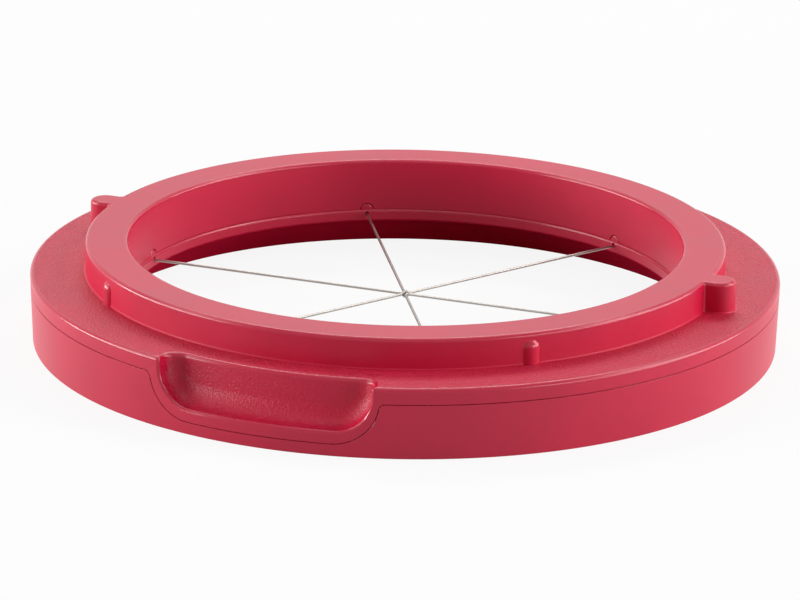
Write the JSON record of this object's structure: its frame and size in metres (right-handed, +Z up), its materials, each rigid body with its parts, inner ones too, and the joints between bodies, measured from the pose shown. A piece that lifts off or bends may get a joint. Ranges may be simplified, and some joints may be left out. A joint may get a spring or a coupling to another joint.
{
  "type": "egg wedger ring",
  "caption": "Low round moulded ring with thin taut wires crossing its open bore, a raised collar with lugs and ribs, and a finger recess; cuts a boiled egg into wedges.",
  "frame": {"origin": "centre of the ring on its bottom face, where it stands on the table", "axes": "+X through the two lugs, the finger recess faces -Y, +Z up through the bore"},
  "size_m": [0.095, 0.0948, 0.0128],
  "materials": {
    "red_plastic": "moulded, satin, fine texture on the top faces",
    "steel": "drawn stainless wire"
  },
  "bodies": {
    "root": {"upper_ring": "red_plastic", "base_ring": "red_plastic", "cutting_wire_1": "steel", "cutting_wire_2": "steel", "cutting_wire_3": "steel", "wire_ferrule_1a": "steel", "wire_ferrule_1b": "steel", "wire_ferrule_2a": "steel", "wire_ferrule_2b": "steel", "wire_ferrule_3a": "steel", "wire_ferrule_3b": "steel"}
  },
  "joints": []
}
